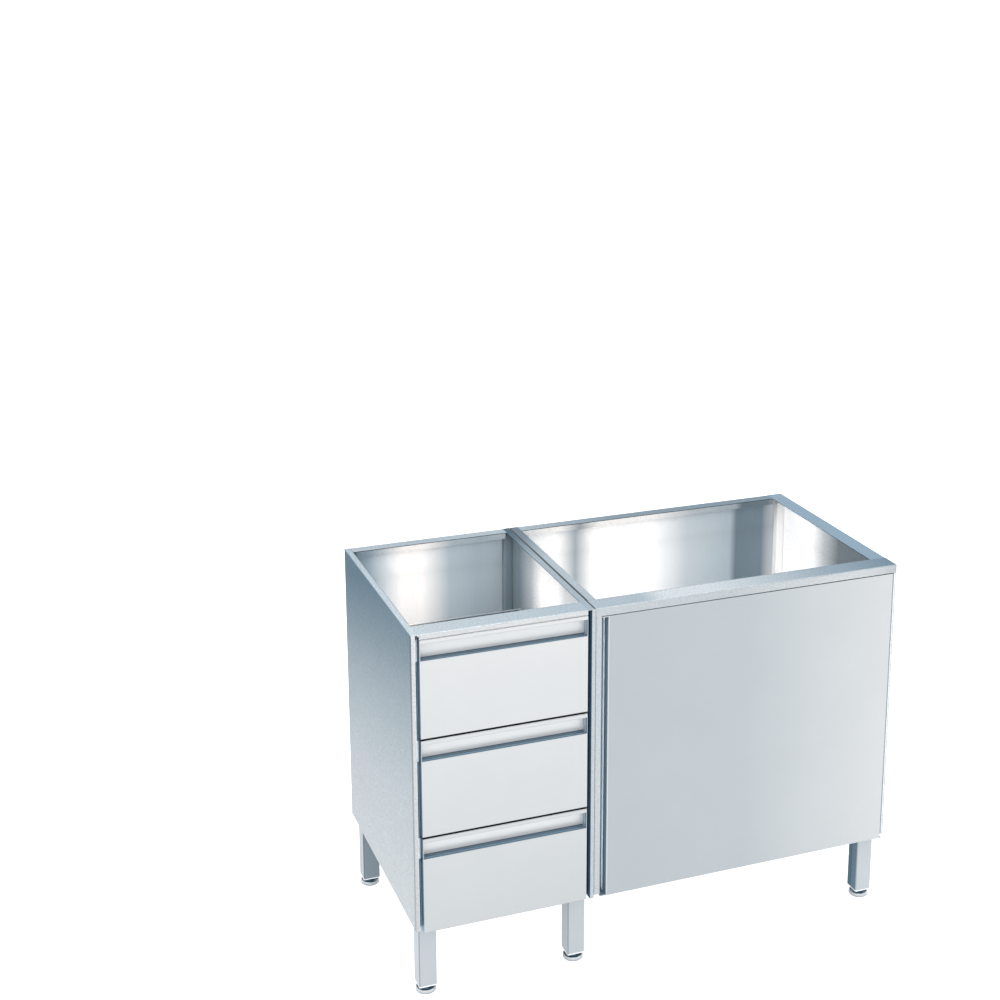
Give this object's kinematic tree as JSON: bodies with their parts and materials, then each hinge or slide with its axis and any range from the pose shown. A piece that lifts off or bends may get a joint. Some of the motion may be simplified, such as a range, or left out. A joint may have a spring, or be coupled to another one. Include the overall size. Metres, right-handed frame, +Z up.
{
  "type": "stainless steel work cabinet",
  "caption": "Open-topped stainless work cabinet: recessed-grip drawers beside a hinged door, on square legs with screw feet.",
  "frame": {"origin": "on the floor under the middle of the cabinet", "axes": "+X to the right along the front, +Y from the front to the back, +Z up"},
  "size_m": [1.15, 0.545, 0.85],
  "materials": {
    "brushed_steel": "satin",
    "inner_steel": "satin",
    "zinc_steel": "zinc plated",
    "chrome": "polished",
    "grey_plastic": "matte",
    "rubber": "matte"
  },
  "bodies": {
    "cabinet": {"left_side_panel": "brushed_steel", "left_inner_side_panel": "brushed_steel", "right_inner_side_panel": "brushed_steel", "right_side_panel": "brushed_steel", "left_back_panel": "inner_steel", "right_back_panel": "inner_steel", "left_bottom_panel": "inner_steel", "right_bottom_panel": "inner_steel", "left_front_rail": "brushed_steel", "right_front_rail": "brushed_steel", "left_back_rail": "brushed_steel", "right_back_rail": "brushed_steel", "corner_posts": "brushed_steel", "leg_front_left": "brushed_steel", "leg_front_middle": "brushed_steel", "leg_front_right": "brushed_steel", "leg_rear_left": "brushed_steel", "leg_rear_middle": "brushed_steel", "leg_rear_right": "brushed_steel", "leg_end_plugs": "grey_plastic", "joining_bolts": "zinc_steel", "shelf": "inner_steel", "shelf_supports": "zinc_steel", "hinge_brackets": "zinc_steel", "door_catch": "grey_plastic", "slide_channels": "zinc_steel", "slide_outer_members": "zinc_steel"},
    "drawer_1": {"drawer_1_front": "brushed_steel", "drawer_1_liner": "inner_steel", "drawer_1_box": "inner_steel", "drawer_1_grip_caps": "grey_plastic", "drawer_1_runners": "zinc_steel"},
    "drawer_2": {"drawer_2_front": "brushed_steel", "drawer_2_liner": "inner_steel", "drawer_2_box": "inner_steel", "drawer_2_grip_caps": "grey_plastic", "drawer_2_runners": "zinc_steel"},
    "drawer_3": {"drawer_3_front": "brushed_steel", "drawer_3_liner": "inner_steel", "drawer_3_box": "inner_steel", "drawer_3_grip_caps": "grey_plastic", "drawer_3_runners": "zinc_steel"},
    "slide_middle_1": {"slide_middle_1": "zinc_steel"},
    "slide_middle_2": {"slide_middle_2": "zinc_steel"},
    "slide_middle_3": {"slide_middle_3": "zinc_steel"},
    "door": {"door_skin": "brushed_steel", "door_liner": "inner_steel", "door_grip": "brushed_steel", "door_grip_caps": "grey_plastic", "door_pivot_blocks": "zinc_steel", "door_catch_plate": "zinc_steel", "door_bumpers": "rubber"},
    "foot_front_left": {"foot_front_left": "chrome"},
    "foot_front_middle": {"foot_front_middle": "chrome"},
    "foot_front_right": {"foot_front_right": "chrome"},
    "foot_rear_left": {"foot_rear_left": "chrome"},
    "foot_rear_middle": {"foot_rear_middle": "chrome"},
    "foot_rear_right": {"foot_rear_right": "chrome"}
  },
  "joints": [
    {"name": "drawer_1_slide", "type": "slide", "parent": "cabinet", "child": "drawer_1", "axis": [0, -1, 0], "range_m": [0, 0.3]},
    {"name": "drawer_2_slide", "type": "slide", "parent": "cabinet", "child": "drawer_2", "axis": [0, -1, 0], "range_m": [0, 0.3]},
    {"name": "drawer_3_slide", "type": "slide", "parent": "cabinet", "child": "drawer_3", "axis": [0, -1, 0], "range_m": [0, 0.3]},
    {"name": "slide_middle_1_slide", "type": "slide", "parent": "cabinet", "child": "slide_middle_1", "axis": [0, -1, 0], "range_m": [0, 0.15]},
    {"name": "slide_middle_2_slide", "type": "slide", "parent": "cabinet", "child": "slide_middle_2", "axis": [0, -1, 0], "range_m": [0, 0.15]},
    {"name": "slide_middle_3_slide", "type": "slide", "parent": "cabinet", "child": "slide_middle_3", "axis": [0, -1, 0], "range_m": [0, 0.15]},
    {"name": "door_hinge", "type": "hinge", "parent": "cabinet", "child": "door", "pos_m": [0.561, -0.2665, 0.165], "axis": [0, 0, 1], "range_deg": [0, 105]},
    {"name": "foot_front_left_screw", "type": "slide", "parent": "cabinet", "child": "foot_front_left", "axis": [0, 0, -1], "range_m": [0, 0.02]},
    {"name": "foot_front_middle_screw", "type": "slide", "parent": "cabinet", "child": "foot_front_middle", "axis": [0, 0, -1], "range_m": [0, 0.02]},
    {"name": "foot_front_right_screw", "type": "slide", "parent": "cabinet", "child": "foot_front_right", "axis": [0, 0, -1], "range_m": [0, 0.02]},
    {"name": "foot_rear_left_screw", "type": "slide", "parent": "cabinet", "child": "foot_rear_left", "axis": [0, 0, -1], "range_m": [0, 0.02]},
    {"name": "foot_rear_middle_screw", "type": "slide", "parent": "cabinet", "child": "foot_rear_middle", "axis": [0, 0, -1], "range_m": [0, 0.02]},
    {"name": "foot_rear_right_screw", "type": "slide", "parent": "cabinet", "child": "foot_rear_right", "axis": [0, 0, -1], "range_m": [0, 0.02]}
  ],
  "couplings": [
    {"joint": "slide_middle_1_slide", "follows": "drawer_1_slide", "ratio": 0.5},
    {"joint": "slide_middle_2_slide", "follows": "drawer_2_slide", "ratio": 0.5},
    {"joint": "slide_middle_3_slide", "follows": "drawer_3_slide", "ratio": 0.5}
  ]
}
